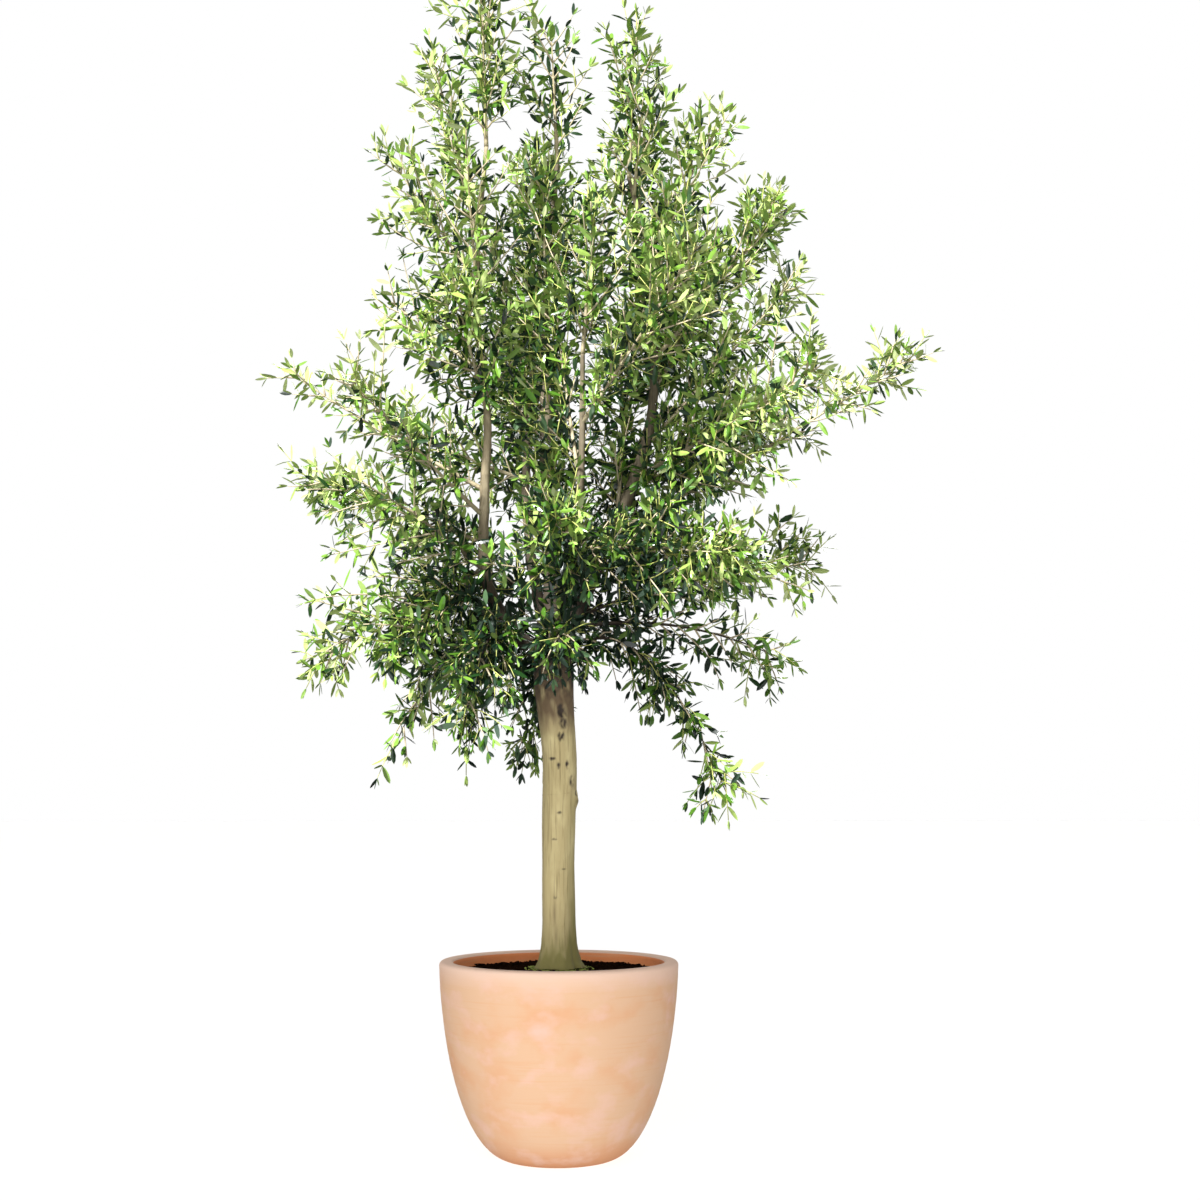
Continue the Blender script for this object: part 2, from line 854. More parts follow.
    def build(self) -> bpy.types.Object:
        """Makes the soil and dresses it.

        Returns:
            The piece.
        """
        parts = MeshParts()
        parts.add(*self.bed())
        rim = float(self.pot.inner_radius(np.array(self.top - self.dome))) - self.bare_at_wall
        strewn = (self.bare_round_trunk, rim)
        self.scatter(parts, self.crumbs, strewn, self.crumb, self.crumb_stretch, 0, 11)
        self.scatter(parts, self.chips, strewn, self.chip, self.chip_stretch, 0, 12)
        self.scatter(parts, self.moss_tufts, self.moss_reach, self.moss_tuft, self.moss_stretch, 1, 13)
        soil, moss = SoilFinish("potting_soil_peat"), MossFinish("moss_cushions")
        piece = parts.build("soil_bed", [soil.material(), moss.material()])
        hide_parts("soil")
        return piece


# ---------------------------------------------------------------- trunk and leaders
@dataclass(frozen=True)
class Relief:
    """Noise in the surface of bark: its depth, the size of its features and what shifts it."""

    depth: float
    size: tuple[float, float, float]
    shift: float

    def at(self, points: np.ndarray) -> np.ndarray:
        """How far the relief stands out at each point."""
        return self.depth * roughness_at(points, self.size, self.shift)


@dataclass(frozen=True)
class Wound:
    """A mark on the trunk, such as a scar where a shoot was cut off.

    Its place is a height above the ground and an angle from the front towards the right, and its size is
    half its width and half its height. A callus swells round a true wound, whose heart lies deeper. A depth
    below zero is a bump.
    """

    height: float
    angle: float
    size: tuple[float, float]
    swell: float = 0.0
    depth: float = 0.0
    strength: float = 1.0

    def spread(self, angles: np.ndarray, heights: np.ndarray, radii: np.ndarray) -> np.ndarray:
        """How far points of the bark lie from the mark's middle, where 1 is its edge.

        Args:
            angles: The points' angles round the trunk, from the back towards the right.
            heights: Their heights above the ground.
            radii: The trunk's radius there.

        Returns:
            The distance of each point.
        """
        from_back = np.radians(180 - self.angle)
        around = (angles - from_back + math.pi) % FULL_TURN - math.pi
        return np.hypot(around * radii / self.size[0], (heights - self.height) / self.size[1])


@dataclass
class Trunk:
    """The trunk: a slightly leaning column with a flared and ribbed foot, cut flat at the soil."""

    soil_top: float = 463.0
    line: Line = ((-1, 0, 463), (-2, 0, 760), (1, 0, 960), (-11, 0, 1120), (-18, 0, 1262))
    # The radius at some heights above the soil, and over what height its changes are rounded off.
    girth: Line = ((0, 61), (16, 53), (50, 45), (110, 41.5), (240, 40), (420, 41), (560, 43), (640, 47),
                   (740, 50), (785, 38), (805, 14))
    rounding: float = 25.0
    # Ribs of the root flare: how many, their share of the radius, how soon they fade upwards, and their turn.
    ribs: Line = ((5, 0.1, 90, 0), (13, 0.04, 40, 1))
    bark: tuple[Relief, ...] = (
        Relief(1.6, (26, 26, 190), 1), Relief(0.8, (9, 9, 70), 4), Relief(0.35, (4, 4, 14), 8),
    )
    sides: int = 96
    ring: float = 3.0
    line_steps: int = 400
    rounding_samples: int = 9
    wounds: tuple[Wound, ...] = (
        Wound(1094, 19, (11, 17), 4.0, 6.0), Wound(1066, 21, (10, 13), 3.0, 3.5, 0.8),
        Wound(1033, 10, (8, 12), 3.0, 4.0), Wound(977, -25, (8, 4), 1.0, 1.0, 0.9),
        Wound(960, -4, (4.5, 8), 0.8, 1.5, 0.75), Wound(962, 26, (4.5, 10), 1.0, 1.5, 0.8),
        Wound(922, 44, (8, 13), 1.5, 1.0, 0.55), Wound(892, 72, (6, 7), 1.5, 1.0, 0.8),
        Wound(873, 84, (11, 12), 1.0, -6.0, 0.35), Wound(844, 2, (6, 3.5), 0.5, 0.6, 0.6),
        Wound(779, -14, (7, 2.5), 0.4, 0.5, 0.6), Wound(706, 17, (8, 2.5), 0.4, 0.5, 0.5),
        Wound(638, -11, (4, 5), 0.6, 0.8, 0.7), Wound(1010, 150, (8, 10), 2.0, 2.5, 0.8),
        Wound(850, -140, (7, 9), 2.0, 2.0, 0.8), Wound(1120, -160, (9, 12), 3.0, 3.0),
        Wound(720, 170, (7, 4), 0.8, 0.8, 0.6), Wound(930, -95, (6, 9), 1.5, 1.5, 0.7),
    )
    stains: tuple[Wound, ...] = (
        Wound(1112, -32, (19, 42)), Wound(1090, -40, (10, 60), strength=0.6),
        Wound(595, -14, (5, 46), strength=0.6), Wound(550, -8, (4, 30), strength=0.5),
        Wound(905, 48, (12, 22), strength=0.35), Wound(1130, 100, (20, 40), strength=0.6),
        Wound(1125, 170, (24, 36), strength=0.7),
    )
    # Where a callus is highest and how wide it is, and where a wound's colour ends, for a wound of size 1.
    callus: tuple[float, float] = (1.15, 0.5)
    wound_edge: float = 1.5
    scar_height: float = 890.0
    scar_tilt: float = 3.0
    scar_width: float = 1.8
    scar_swell: float = 0.7
    scar_stain: float = 0.25
    # Under the fork: the strength of the stain and of the dark bark, the height at which each starts, and
    # over what height it comes up.
    fork_stain: tuple[float, float, float] = (0.95, 1020, 90)
    fork_dark: tuple[float, float, float] = (0.8, 1095, 110)
    # Algae: the strength and height of the thick film, of the thin one and of the one on the shaded side.
    thick_algae: tuple[float, float] = (0.8, 60)
    thin_algae: tuple[float, float] = (0.3, 120)
    side_algae: tuple[float, float] = (0.75, 420)
    shaded_side: float = 100.0
    # What makes the marks patchy, how much so for wounds, stains and algae, and what makes wounds ragged.
    patches: Relief = Relief(1, (14, 14, 40), 6)
    patchiness: tuple[float, float, float] = (0.5, 0.8, 0.6)
    ragged: Relief = Relief(1.3, (6, 6, 10), 12)
    top: float = field(init=False)

    def __post_init__(self) -> None:
        """Works out the trunk's top."""
        self.top = self.girth[-1][0]

    def centres(self, levels: np.ndarray) -> np.ndarray:
        """The centre line.

        Args:
            levels: Heights above the soil.

        Returns:
            The line's point at each height.
        """
        fine = catmull_rom(self.line, self.line_steps)
        heights = self.soil_top + levels
        places = [np.interp(heights, fine[:, 2], fine[:, axis]) for axis in (0, 1)]
        return np.stack([*places, heights], axis=-1)

    def radius(self, levels: np.ndarray) -> np.ndarray:
        """The radius, without ribs and relief, at some heights above the soil."""
        return np.interp(levels, *np.array(self.girth).T)

    def rounded_radius(self, levels: np.ndarray) -> np.ndarray:
        """The same with the corners of its course rounded off, except close to the soil.

        Args:
            levels: Heights above the soil.

        Returns:
            The radius at each height.
        """
        window = self.rounding * np.linspace(-0.5, 0.5, self.rounding_samples)
        rounded = np.mean([self.radius(levels + step) for step in window], axis=0)
        return np.where(levels < self.rounding, self.radius(levels), rounded)

    def ring_scar(self, angles: np.ndarray, heights: np.ndarray) -> np.ndarray:
        """How strong the slightly tilted scar round the trunk is at each point.

        Args:
            angles: The points' angles round the trunk.
            heights: Their heights above the ground.

        Returns:
            A number from 0 to 1 for each point.
        """
        middle = self.scar_height + self.scar_tilt * np.sin(angles)
        return np.exp(-(((heights - middle) / self.scar_width) ** 2))

    def swelling(self, angles: np.ndarray, heights: np.ndarray, plain: np.ndarray) -> np.ndarray:
        """How far the wounds' calluses and the scar stand out.

        Args:
            angles: The points' angles round the trunk.
            heights: Their heights above the ground.
            plain: The radius there, without ribs and relief.

        Returns:
            What comes on top of the radius at each point.
        """
        rise = self.scar_swell * self.ring_scar(angles, heights)
        place, width = self.callus
        for mark in self.wounds:
            gap = mark.spread(angles, heights, plain)
            rise += mark.swell * np.exp(-(((gap - place) / width) ** 2)) - mark.depth * np.exp(-(gap**2))
        return rise

    def marks(
        self, angles: np.ndarray, heights: np.ndarray, plain: np.ndarray, points: np.ndarray
    ) -> dict[str, np.ndarray]:
        """How strongly wounds, stains and algae colour each point of the bark.

        Args:
            angles: The points' angles round the trunk.
            heights: Their heights above the ground.
            plain: The radius there, without ribs and relief.
            points: The points without the bark's relief.

        Returns:
            For each mark, by its name, a number from 0 to 1 for each point.
        """
        dark, dark_from, dark_over = self.fork_dark
        wound = dark * np.clip((heights - dark_from) / dark_over, 0, 1)
        for mark in self.wounds:
            gap = mark.spread(angles, heights, plain)
            wound = np.maximum(wound, mark.strength * np.clip(self.wound_edge - gap, 0, 1))
        dirt, dirt_from, dirt_over = self.fork_stain
        stain = dirt * np.clip((heights - dirt_from) / dirt_over, 0, 1)
        stain = np.maximum(stain, self.scar_stain * self.ring_scar(angles, heights))
        for mark in self.stains:
            stain = np.maximum(stain, mark.strength * np.exp(-(mark.spread(angles, heights, plain) ** 2)))
        level = heights - self.soil_top
        thick, thick_height = self.thick_algae
        thin, thin_height = self.thin_algae
        beside, beside_height = self.side_algae
        facing = np.clip(np.cos(angles - math.radians(self.shaded_side)) * 2 - 1, 0, 1)
        algae = thick * np.exp(-((level / thick_height) ** 2)) + thin * np.exp(-level / thin_height)
        algae = algae + beside * facing * np.exp(-level / beside_height)
        patches = self.patches.at(points).reshape(heights.shape)
        ragged = self.ragged.at(points).reshape(heights.shape)
        on_wound, on_stain, on_algae = (1 + share * patches for share in self.patchiness)
        wound, stain, algae = wound * (on_wound + ragged), stain * on_stain, algae * on_algae
        return {"wound": np.clip(wound, 0, 1), "stain": np.clip(stain, 0, 1), "algae": np.clip(algae, 0, 1)}

    def build(self) -> bpy.types.Object:
        """Makes the trunk with its bark's relief and dresses it.

        Returns:
            The piece.
        """
        levels = np.append(np.arange(0, self.top, self.ring), self.top)[:, None]
        angles = np.linspace(0, FULL_TURN, self.sides, endpoint=False)[None]
        heights = np.repeat(self.soil_top + levels, self.sides, axis=1)
        plain = self.rounded_radius(levels)
        ribs = sum(share * np.exp(-levels / fade) * np.sin(count * angles + turn)
                   for count, share, fade, turn in self.ribs)
        radii = plain * (1 + ribs)
        smooth_points = turned(radii, heights)
        relief = sum(layer.at(smooth_points) for layer in self.bark).reshape(radii.shape)
        radii = radii + relief + self.swelling(angles, heights, plain)
        points = turned(radii, heights).reshape(len(levels), self.sides, 3)
        points[:, :, :2] += self.centres(levels[:, 0])[:, None, :2]
        parts = MeshParts()
        parts.add(points.reshape(-1, 3), ring_triangles(len(levels), self.sides))
        piece = parts.build("trunk_bark", [BarkFinish("olive_bark_trunk").material()])
        for name, strengths in self.marks(angles, heights, plain, smooth_points).items():
            layer = piece.data.attributes.new(name, "FLOAT", "POINT")
            layer.data.foreach_set("value", strengths.ravel().astype(np.float32))
        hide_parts("trunk")
        return piece


@dataclass
class Leader:
    """One of the five limbs that the trunk forks into, and the mass of foliage that carries it on.

    ends are its radii at its foot and its end. tip is the tip of the mass on its end, and tip_side the
    length of that mass's longest side twigs. A sunlit leader has bleached, paler bark.
    """

    name: str
    line: Line
    ends: tuple[float, float]
    tip: tuple[float, float, float]
    tip_side: float
    sunlit: bool = False
    sides: int = 20
    steps: int = 180
    sample_steps: int = 40
    # The swelling at the fork and at the old nodes: its share of the radius and how far it reaches.
    collar: tuple[float, float] = (0.35, 0.06)
    knots: tuple[float, float] = (0.09, 0.25)
    knot_count: int = 26
    knot_shift: float = 0.3
    coarse: tuple[float, float, float] = (16, 16, 60)
    fine: tuple[float, float, float] = (6, 6, 24)
    coarse_depth: float = 0.1
    fine_depth: float = 0.07
    samples: np.ndarray = field(init=False)
    radii: np.ndarray = field(init=False)

    def __post_init__(self) -> None:
        """Works out the centre line and its radii, as the growth rule reads them."""
        self.samples = catmull_rom(self.line, self.sample_steps)
        self.radii = np.linspace(*self.ends, self.sample_steps + 1)

    def build(self, finish: bpy.types.Material, number: int) -> bpy.types.Object:
        """Makes the leader with its bark's relief.

        Args:
            finish: The bark.
            number: Its place among the leaders.

        Returns:
            The piece.
        """
        path = catmull_rom(self.line, self.steps)
        share = np.linspace(0, 1, self.steps + 1)
        collar = self.collar[0] * np.exp(-share / self.collar[1])
        wave = np.sin(math.pi * (share * self.knot_count + self.knot_shift * number))
        knots = self.knots[0] * np.exp(-((wave / self.knots[1]) ** 2))
        radii = np.linspace(*self.ends, self.steps + 1) * (1 + collar + knots)
        plain, _ = tube(path, radii, self.sides)
        rough = self.coarse_depth * roughness_at(plain, self.coarse, number + 1)
        rough += self.fine_depth * roughness_at(plain, self.fine, number + 3)
        parts = MeshParts()
        parts.add(*tube(path, radii[:, None] * (1 + rough.reshape(-1, self.sides)), self.sides))
        piece = parts.build(f"bough_{self.name}", [finish])
        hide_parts(f"leader_{self.name}")
        return piece


LEADERS = (
    Leader(
        "left", ((-14, 0, 1205), (-108, -28, 1290), (-181, -55, 1420), (-186, -80, 1640), (-180, -85, 1817),
                 (-208, -70, 2190), (-187, -50, 2519)),
        ends=(19, 5), tip=(-201, -55, 2915), tip_side=150, sunlit=True,
    ),
    Leader(
        "centre", ((-10, 4, 1225), (-22, 24, 1500), (-34, 38, 1800), (-34, 38, 2157), (-8, 20, 2500)),
        ends=(26, 5.5), tip=(-24, 15, 2850), tip_side=150,
    ),
    Leader(
        "right", ((-4, -4, 1215), (90, -20, 1450), (190, -35, 1680), (236, -40, 1898), (221, -30, 2250),
                  (175, -15, 2450)),
        ends=(21, 5), tip=(190, -20, 2800), tip_side=150,
    ),
    Leader(
        "front", ((-6, -8, 1210), (20, -130, 1400), (50, -215, 1640), (55, -235, 1950)),
        ends=(17, 5), tip=(80, -290, 2300), tip_side=190,
    ),
    Leader(
        "back", ((-14, 10, 1210), (-60, 140, 1420), (-90, 230, 1700), (-60, 240, 2150)),
        ends=(19, 5), tip=(-30, 240, 2600), tip_side=190,
    ),
)


# ---------------------------------------------------------------- the crown's masses
@dataclass(frozen=True)
class Storey:
    """A ring of stems round the crown.

    leave is the height at which the first stem leaves its leader, and rise how far up the others are spread.
    right, back, left and front are the reach and height of the tips on those sides. arch lifts the middle of
    a stem, for each 600 mm of reach, side is the length of its longest side twigs, and lift how much they
    turn upwards.
    """

    name: str
    leave: float
    rise: float
    right: tuple[float, float]
    back: tuple[float, float]
    left: tuple[float, float]
    front: tuple[float, float]
    bearings: tuple[float, ...]
    arch: float
    side: float
    lift: float


STOREYS = (
    Storey("skirt", 1270, 70, (450, 905), (330, 990), (420, 985), (215, 1020), (-14, 100, 188, 240),
           480, 100, -0.3),
    Storey("low", 1350, 180, (560, 1225), (420, 1200), (600, 1215), (300, 1225), (0, 60, 120, 180, 225, 270),
           100, 190, -0.1),
    Storey("waist", 1400, 200, (640, 1465), (530, 1450), (635, 1680), (460, 1480),
           (0, 50, 130, 180, 225, 270, 315), 50, 205, 0),
    Storey("middle", 1600, 200, (900, 2000), (560, 1850), (700, 1960), (510, 1800),
           (0, 50, 95, 135, 180, 225, 310), -20, 205, 0.06),
    Storey("shoulder", 1820, 200, (600, 2200), (460, 2170), (450, 2150), (430, 2140),
           (0, 55, 110, 180, 235, 300), -20, 195, 0.12),
    Storey("high", 2060, 200, (560, 2390), (340, 2420), (430, 2500), (280, 2400), (0, 60, 120, 180, 240, 300),
           -40, 165, 0.2),
    Storey("crest", 2300, 200, (400, 2590), (210, 2640), (320, 2750), (120, 2660), (0, 60, 180, 300),
           -40, 130, 0.25),
    Storey("core_low", 1380, 200, (210, 1760), (160, 1760), (110, 1760), (130, 1760), (20, 260),
           0, 170, 0.15),
    Storey("core_middle", 1640, 200, (190, 2080), (150, 2080), (110, 2080), (130, 2080), (20, 140, 260),
           0, 170, 0.15),
    Storey("core_high", 1990, 200, (150, 2430), (110, 2430), (70, 2430), (110, 2430), (10, 230),
           0, 150, 0.2),
)
# Masses whose side twigs are shorter or longer than their storey's, and by how much. Most are slender sprays.
GIRTH = {
    "skirt_right": 0.6, "skirt_front_left": 1.3, "low_right": 0.45, "waist_right": 0.85, "waist_left": 0.85,
    "middle_left": 0.3, "middle_right": 0.45, "middle_back_left": 0.75, "middle_front_left": 0.75,
    "shoulder_left": 0.8, "crest_left": 0.8,
}
# The share of the places for finer shoots that bear one, by storey or by mass.
FILL = {
    "skirt": 0.15, "skirt_right": 0.6, "skirt_back": 0.7, "skirt_front_left": 1,
    "low": 0.6, "low_right": 0.2, "low_back_right": 0, "low_left": 0.35, "low_front_left": 1, "low_front": 1,
    "waist": 0.65, "waist_right": 0.35, "waist_back_right": 0.25, "waist_back_left": 0.25, "waist_left": 0.4,
    "waist_front_left": 0.05, "waist_front": 1, "waist_front_right": 1,
    "middle": 0.45, "middle_right": 0.25, "middle_back_right": 0.7, "middle_back": 0.8,
    "middle_back_left": 0.3, "middle_left": 0, "middle_front_left": 0.1, "middle_front_right": 0.5,
    "shoulder": 0.65, "shoulder_right": 0.4, "shoulder_left": 0.05, "shoulder_front_left": 1,
    "high": 0.45, "high_right": 0.8, "high_back_left": 0.3, "high_left": 0.3, "high_front_left": 0.15,
    "crest": 0.4, "crest_left": 0.25,
    "core": 1,
    "tips": 0.4, "left_tip": 0.45, "centre_tip": 0.2, "right_tip": 0.35,
}
# Masses that bear fewer fine shoots near the fork, where all others bear more, and what share of them.
BARE_INSIDE = {"skirt_right": 0.3}
COMPASS = ("right", "back_right", "back", "back_left", "left", "front_left", "front", "front_right")


@dataclass
class Mass:
    """One mass of foliage: the stem that carries it, and how its side twigs grow."""

    name: str
    group: str
    start: np.ndarray
    tip: np.ndarray
    arch: float
    side: float
    lift: float
    steps: int = 24
    nudge: float = 1e-4
    samples: np.ndarray = field(init=False)
    length: float = field(init=False)

    def __post_init__(self) -> None:
        """Works out points along the stem, and its length."""
        self.samples = self.at(np.linspace(0, 1, self.steps + 1))
        self.length = float(np.linalg.norm(np.diff(self.samples, axis=0), axis=1).sum())

    def at(self, share: float | np.ndarray) -> np.ndarray:
        """The stem's curve.

        Args:
            share: A share of the stem's way, or several.

        Returns:
            The point there, or the points.
        """
        control = (self.start + self.tip) / 2 + UP * self.arch
        share = np.asarray(share, float)[..., None]
        return (1 - share) ** 2 * self.start + 2 * share * (1 - share) * control + share**2 * self.tip

    def tangent(self, share: float) -> np.ndarray:
        """The direction of the stem at a share of its way."""
        return unit(self.at(min(1.0, share + self.nudge)) - self.at(max(0.0, share - self.nudge)))


@dataclass
class Shoot:
    """A twig that bears leaves: its path, its radius at the foot and the end, and where in the crown it is.

    stem_share is the place on the mass's stem that it comes from. keys are the numbers that its random draws
    are made with: its mass's place among all masses, its kind and its own place.
    """

    path: np.ndarray
    radii: tuple[float, float]
    mass: Mass
    stem_share: float
    keys: tuple[int, ...]

    @property
    def fine(self) -> bool:
        """Whether it is one of the young shoots that stand on twigs and stems."""
        return self.keys[1] in (Kind.FINE, Kind.SPUR)


@dataclass
class Crown:
    """The crown: storeys of masses on the leaders, and the rule by which their twigs branch.

    Stems bear a pair of side twigs at every node, each pair turned a quarter turn from the one before, as an
    olive's are. The twigs bear shoots of their own in the same way. A twig or shoot ends where it would leave
    its mass's own space, which is everything nearer to its stem than to any other, or touch a limb.
    """

    trunk: Trunk
    leaders: tuple[Leader, ...]
    # Where masses lie: how far their tips wander, except straight to the right and left, how the places
    # where stems leave are spread over a storey's rise, and how far their leader goes on above them.
    wander_reach: float = 0.09
    wander_height: float = 55.0
    sideways: float = 0.98
    rise_step: float = 0.618
    rise_below: float = 0.3
    arch_reach: float = 600.0
    leader_above: float = 20.0
    tip_lift: float = 0.2
    # A mass's own space, and how far twigs keep clear of the limbs, which are measured at steps.
    own_margin: float = 4.0
    limb_gap: float = 6.0
    limb_step: float = 20.0
    # Stems: the distance of their nodes, from where on they bear leaves themselves, and their radii and
    # taper. Short stems are thinner.
    node: float = 44.0
    least_nodes: int = 3
    leafy_from: float = 0.72
    stem_steps: int = 24
    stem_sides: int = 8
    stem_radii: tuple[float, float] = (6.5, 1.3)
    stem_taper: float = 1.3
    short_stem: float = 0.75
    full_stem: float = 700.0
    end_radii: tuple[float, float] = (1.8, 1.0)
    # Side twigs: the share that is missing, their turn round the stem, their angle off it in degrees (at its
    # foot, less towards its tip, and stray), and their length, shorter at the stem's foot and tip.
    missing: float = 0.08
    turn: float = 0.45
    spiral: float = 0.6
    spread: tuple[float, float, float] = (52, 14, 9)
    stray: float = 0.38
    lift_stray: float = 0.2
    base_share: float = 0.7
    base_reach: float = 0.3
    tip_length: float = 55.0
    tip_slope: float = 0.5
    twig_radii: tuple[float, float] = (2.8, 1.2)
    # All twigs: the distance of their leaves, how many such steps a long one and a short one have at least,
    # and how many of its points one must have more than to be kept.
    leaf_step: float = 23.0
    long_twig: float = 90.0
    long_steps: int = 3
    short_steps: int = 2
    shortest: int = 2
    # Finer shoots on the side twigs: on every other leaf's place, and shorter towards the twig's end.
    fine_every: int = 2
    fine_length: float = 78.0
    fine_taper: float = 1.25
    fine_turn: float = 0.5
    fine_spread: tuple[float, float] = (46, 8)
    fine_stray: float = 0.35
    fine_radii: tuple[float, float] = (1.6, 1.0)
    # Short shoots on the stems, as shares of the way between two nodes, and how many more fine shoots there
    # are on the stems' inner share. Low down they stand closer there.
    inner: float = 0.35
    inner_fill: float = 2.0
    spurs: tuple[float, ...] = (0.5,)
    close_spurs: tuple[float, ...] = (0.2, 0.5, 0.8)
    close_below: float = 1520.0
    masses: list[Mass] = field(default_factory=list)

    def __post_init__(self) -> None:
        """Lays out the masses and what the growth rule measures distances to."""
        for storey in STOREYS:
            for order, bearing in enumerate(storey.bearings):
                self.masses.append(self.storey_mass(storey, bearing, order, len(self.masses)))
        for leader in self.leaders:
            tip = np.array(leader.tip, float)
            name, lift = f"{leader.name}_tip", self.tip_lift
            side = leader.tip_side * GIRTH.get(name, 1)
            self.masses.append(Mass(name, "tips", leader.samples[-1], tip, 0, side, lift))
        self.stems = np.concatenate([mass.samples for mass in self.masses])
        self.owner = np.repeat(np.arange(len(self.masses)), [len(mass.samples) for mass in self.masses])
        levels = np.arange(0, self.trunk.top, self.limb_step)
        lines = [self.trunk.centres(levels)] + [leader.samples for leader in self.leaders]
        radii = [self.trunk.radius(levels)] + [leader.radii for leader in self.leaders]
        self.limbs, self.limb_radii = np.concatenate(lines), np.concatenate(radii)

    def host(self, tip: np.ndarray, leave: float) -> np.ndarray:
        """The leader that bears a mass: the one that is nearest to its tip in plan where the stem leaves.

        Args:
            tip: The mass's tip.
            leave: The height at which its stem leaves.

        Returns:
            The point of the leader at that height.
        """
        places = [leader.samples[np.argmin(np.abs(leader.samples[:, 2] - leave))]
                  for leader in self.leaders if leader.samples[-1, 2] >= leave + self.leader_above]
        return min(places, key=lambda place: math.hypot(*(place - tip)[:2]))

    def storey_mass(self, storey: Storey, bearing: float, order: int, number: int) -> Mass:
        """Lays out one mass of a storey.

        Args:
            storey: The storey.
            bearing: The direction in which it grows, from the right towards the back.
            order: Its place in the storey.
            number: Its place among all masses.

        Returns:
            The mass.
        """
        across, along = math.cos(math.radians(bearing)), math.sin(math.radians(bearing))
        reach_x, height_x = storey.right if across > 0 else storey.left
        reach_y, height_y = storey.back if along > 0 else storey.front
        steady = abs(across) > self.sideways and not storey.name.startswith("core")
        reach = 1 + (0 if steady else stray(self.wander_reach, number, Use.TIP_REACH))
        height = height_x * across**2 + height_y * along**2
        height += 0 if steady else stray(self.wander_height, number, Use.TIP_HEIGHT)
        tip = np.array([across * reach_x * reach, along * reach_y * reach, height])
        start = self.host(tip, storey.leave + storey.rise * ((order * self.rise_step) % 1 - self.rise_below))
        arch = storey.arch * math.hypot(*(tip - start)[:2]) / self.arch_reach
        side = COMPASS[round((bearing % 360) * len(COMPASS) / 360) % len(COMPASS)]
        group = storey.name.split("_")[0]
        name = f"{storey.name}_{side}"
        return Mass(name, group, start, tip, arch, storey.side * GIRTH.get(name, 1), storey.lift)

    def has_room(self, points: np.ndarray, number: int) -> np.ndarray:
        """Says which points lie in a mass's own space and clear of the trunk and leaders.

        Args:
            points: The points.
            number: The mass's place among all masses.

        Returns:
            True or False for each point.
        """
        gaps = np.linalg.norm(points[:, None] - self.stems, axis=2)
        own = gaps[:, self.owner == number].min(axis=1)
        others = gaps[:, self.owner != number].min(axis=1)
        limb = (np.linalg.norm(points[:, None] - self.limbs, axis=2) - self.limb_radii).min(axis=1)
        return (others > own + self.own_margin) & (limb > self.limb_gap)

    def grown(
        self, start: np.ndarray, way: np.ndarray, length: float, lift: float, number: int
    ) -> np.ndarray:
        """A twig's path as far as it stays in its mass's own space.

        Args:
            start: Where it leaves its stem.
            way: The direction in which it sets out.
            length: How long it would grow.
            lift: How much it turns upwards, as a share of its length.
            number: Its mass's place among all masses.

        Returns:
            Its points, one at each leaf step.
        """
        least = self.long_steps if length > self.long_twig else self.short_steps
        steps = max(least, round(length / self.leaf_step))
        share = np.linspace(0, 1, steps + 1)[:, None]
        path = start + way * length * share + UP * (lift * length) * share**2
        room = self.has_room(path[1:], number)
        kept = steps if room.all() else int(np.argmin(room))
        return path[: kept + 1]

    def side_length(self, mass: Mass, share: float) -> float:
        """How long side twigs grow at one place of their stem.

        Args:
            mass: The mass.
            share: The place, as a share of its stem's way.

        Returns:
            The length.
        """
        full = self.base_share + (1 - self.base_share) * min(1, share / self.base_reach)
        return min(mass.side * full, self.tip_length + self.tip_slope * (1 - share) * mass.length)

    def side_twig(self, mass: Mass, number: int, node: int, nodes: int, twin: int) -> Shoot | None:
        """One side twig of a stem.

        Args:
            mass: The mass.
            number: Its place among all masses.
            node: Which of the stem's nodes the twig stands at.
            nodes: How many nodes the stem has.
            twin: Which of the node's two twigs it is.

        Returns:
            The twig, or None where none grows.
        """
        keys = (number, Kind.TWIG, node, twin)
        if draw(*keys, Use.MISSING) < self.missing:
            return None
        share = node / nodes
        turn = math.pi / 2 * node + math.pi * twin + stray(self.turn, *keys, Use.TURN) + self.spiral * number
        foot, less, wander = self.spread
        spread = math.radians(foot - less * share + stray(wander, *keys, Use.SPREAD))
        length = self.side_length(mass, share) * (1 + stray(self.stray, *keys, Use.LENGTH))
        way = side_direction(mass.tangent(share), turn, spread)
        lift = mass.lift + stray(self.lift_stray, *keys, Use.LIFT)
        path = self.grown(mass.at(share), way, length, lift, number)
        if len(path) <= self.shortest:
            return None
        return Shoot(path, self.twig_radii, mass, share, keys)

    def fine_shoots(self, twig: Shoot, number: int) -> list[Shoot]:
        """The finer shoots that a twig bears, by the same rule one size down.

        Args:
            twig: The twig.
            number: Its mass's place among all masses.

        Returns:
            The shoots.
        """
        shoots = []
        last = len(twig.path) - 1
        for place in range(1, last, self.fine_every):
            for twin in (0, 1):
                keys = (number, Kind.FINE, *twig.keys[2:], place, twin)
                tangent = unit(twig.path[place + 1] - twig.path[place - 1])
                length = self.fine_length * (self.fine_taper - place / last)
                start = twig.path[place]
                shoots.append(self.fine_shoot(twig.mass, twig.stem_share, start, tangent, length, keys))
        return [shoot for shoot in shoots if shoot]

